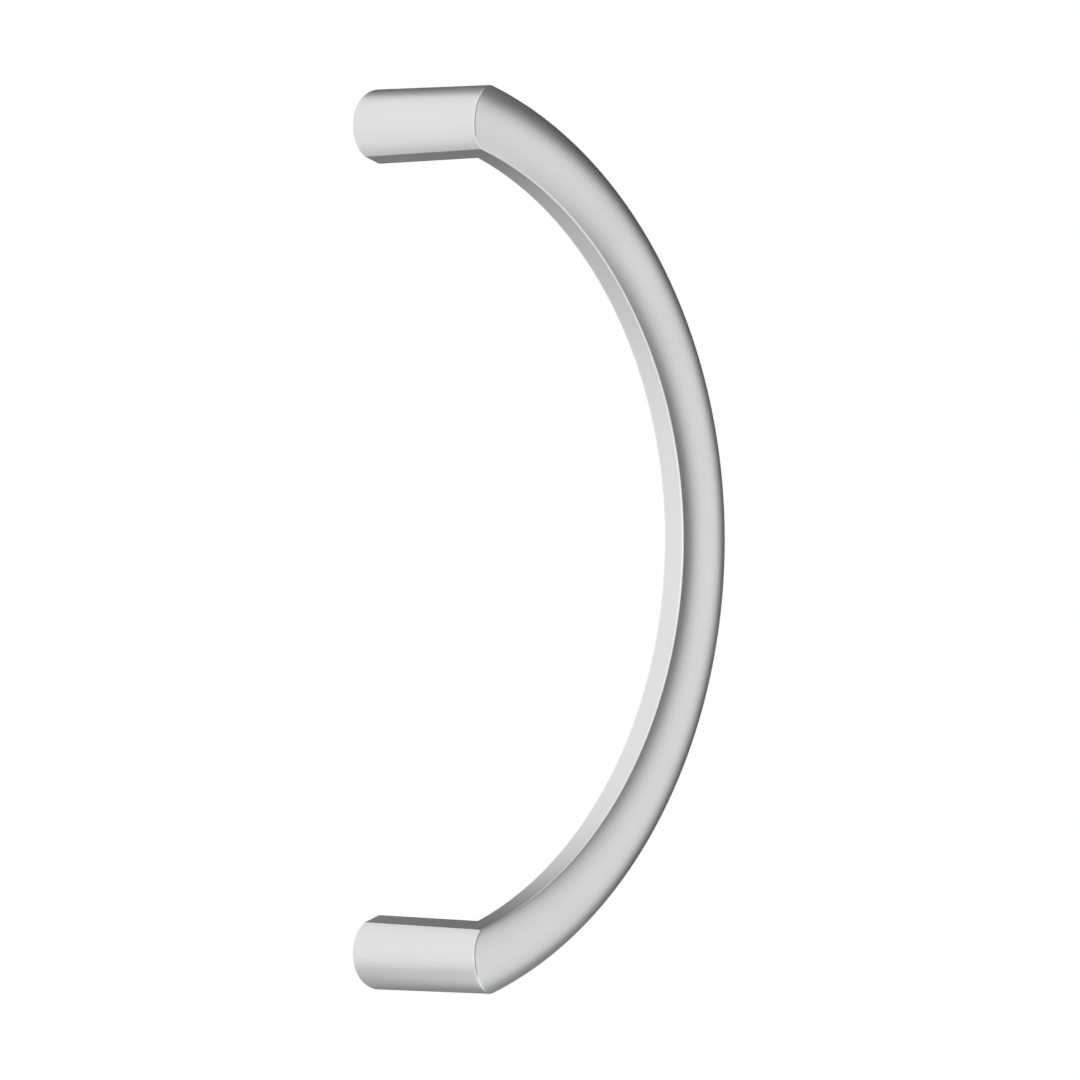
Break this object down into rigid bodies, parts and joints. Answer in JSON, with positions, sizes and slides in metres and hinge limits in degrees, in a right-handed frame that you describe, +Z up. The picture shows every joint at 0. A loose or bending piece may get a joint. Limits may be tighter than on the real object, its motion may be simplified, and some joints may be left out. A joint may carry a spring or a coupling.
{
  "type": "offset pull handle",
  "caption": "Offset door pull handle: round posts carry a flat-oval bow that curves sideways, with a narrow flat along the inside, fixed by bolts through the door.",
  "frame": {"origin": "on the door face, midway between the two fixing bores", "axes": "+Y into the door, so the handle stands out along -Y; +Z up along the line of the feet; +X the way the bow curves"},
  "size_m": [0.1346, 0.0628, 0.327],
  "materials": {
    "satin_metal": "satin anodised"
  },
  "bodies": {
    "root": {"handle": "satin_metal"}
  },
  "joints": []
}
